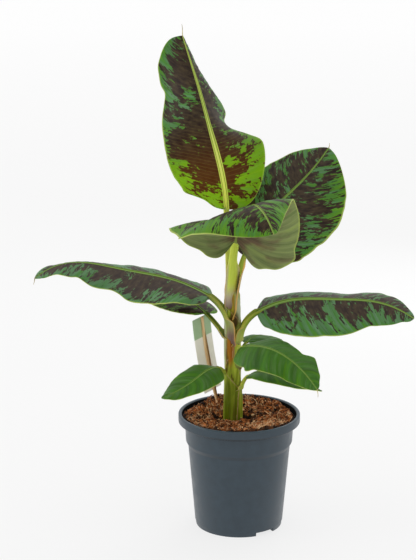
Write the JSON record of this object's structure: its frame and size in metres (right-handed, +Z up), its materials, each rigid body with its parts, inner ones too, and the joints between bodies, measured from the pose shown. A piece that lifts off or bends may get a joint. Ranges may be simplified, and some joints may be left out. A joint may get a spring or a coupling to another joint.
{
  "type": "potted banana plant",
  "caption": "Young banana plant with a pseudostem, stalked paddle leaves and a nursery pot full of coir, for standing on a floor or table.",
  "frame": {"origin": "middle of the pot's flat underside", "axes": "+Z up along the pot's axis, -Y towards the front"},
  "size_m": [0.5198, 0.3844, 0.6881],
  "materials": {
    "pot_plastic": "satin moulded plastic, slate grey",
    "coir": "loose moist coconut fibre",
    "sheath": "smooth living leaf sheath",
    "stalk": "smooth living leaf stalk",
    "blotched_leaf": "satin leaf, green with dark maroon blotches",
    "plain_leaf": "satin leaf, green",
    "card": "plain matt card",
    "raw_wood": "raw split wood"
  },
  "bodies": {
    "root": {"pot": "pot_plastic", "soil": "coir", "pseudostem": "sheath", "label_card": "card", "label_stick": "raw_wood", "petiole_top": "stalk", "petiole_front": "stalk", "petiole_back_right": "stalk", "petiole_left": "stalk", "petiole_right": "stalk", "petiole_back_left": "stalk", "petiole_low_front_right": "stalk", "petiole_low_back_right": "stalk", "petiole_low_right": "stalk", "petiole_low_front_left": "stalk", "blade_top": "blotched_leaf", "blade_front": "blotched_leaf", "blade_back_right": "blotched_leaf", "blade_left": "blotched_leaf", "blade_right": "blotched_leaf", "blade_back_left": "blotched_leaf", "blade_low_front_right": "plain_leaf", "blade_low_back_right": "plain_leaf", "blade_low_right": "plain_leaf", "blade_low_front_left": "plain_leaf"}
  },
  "joints": []
}
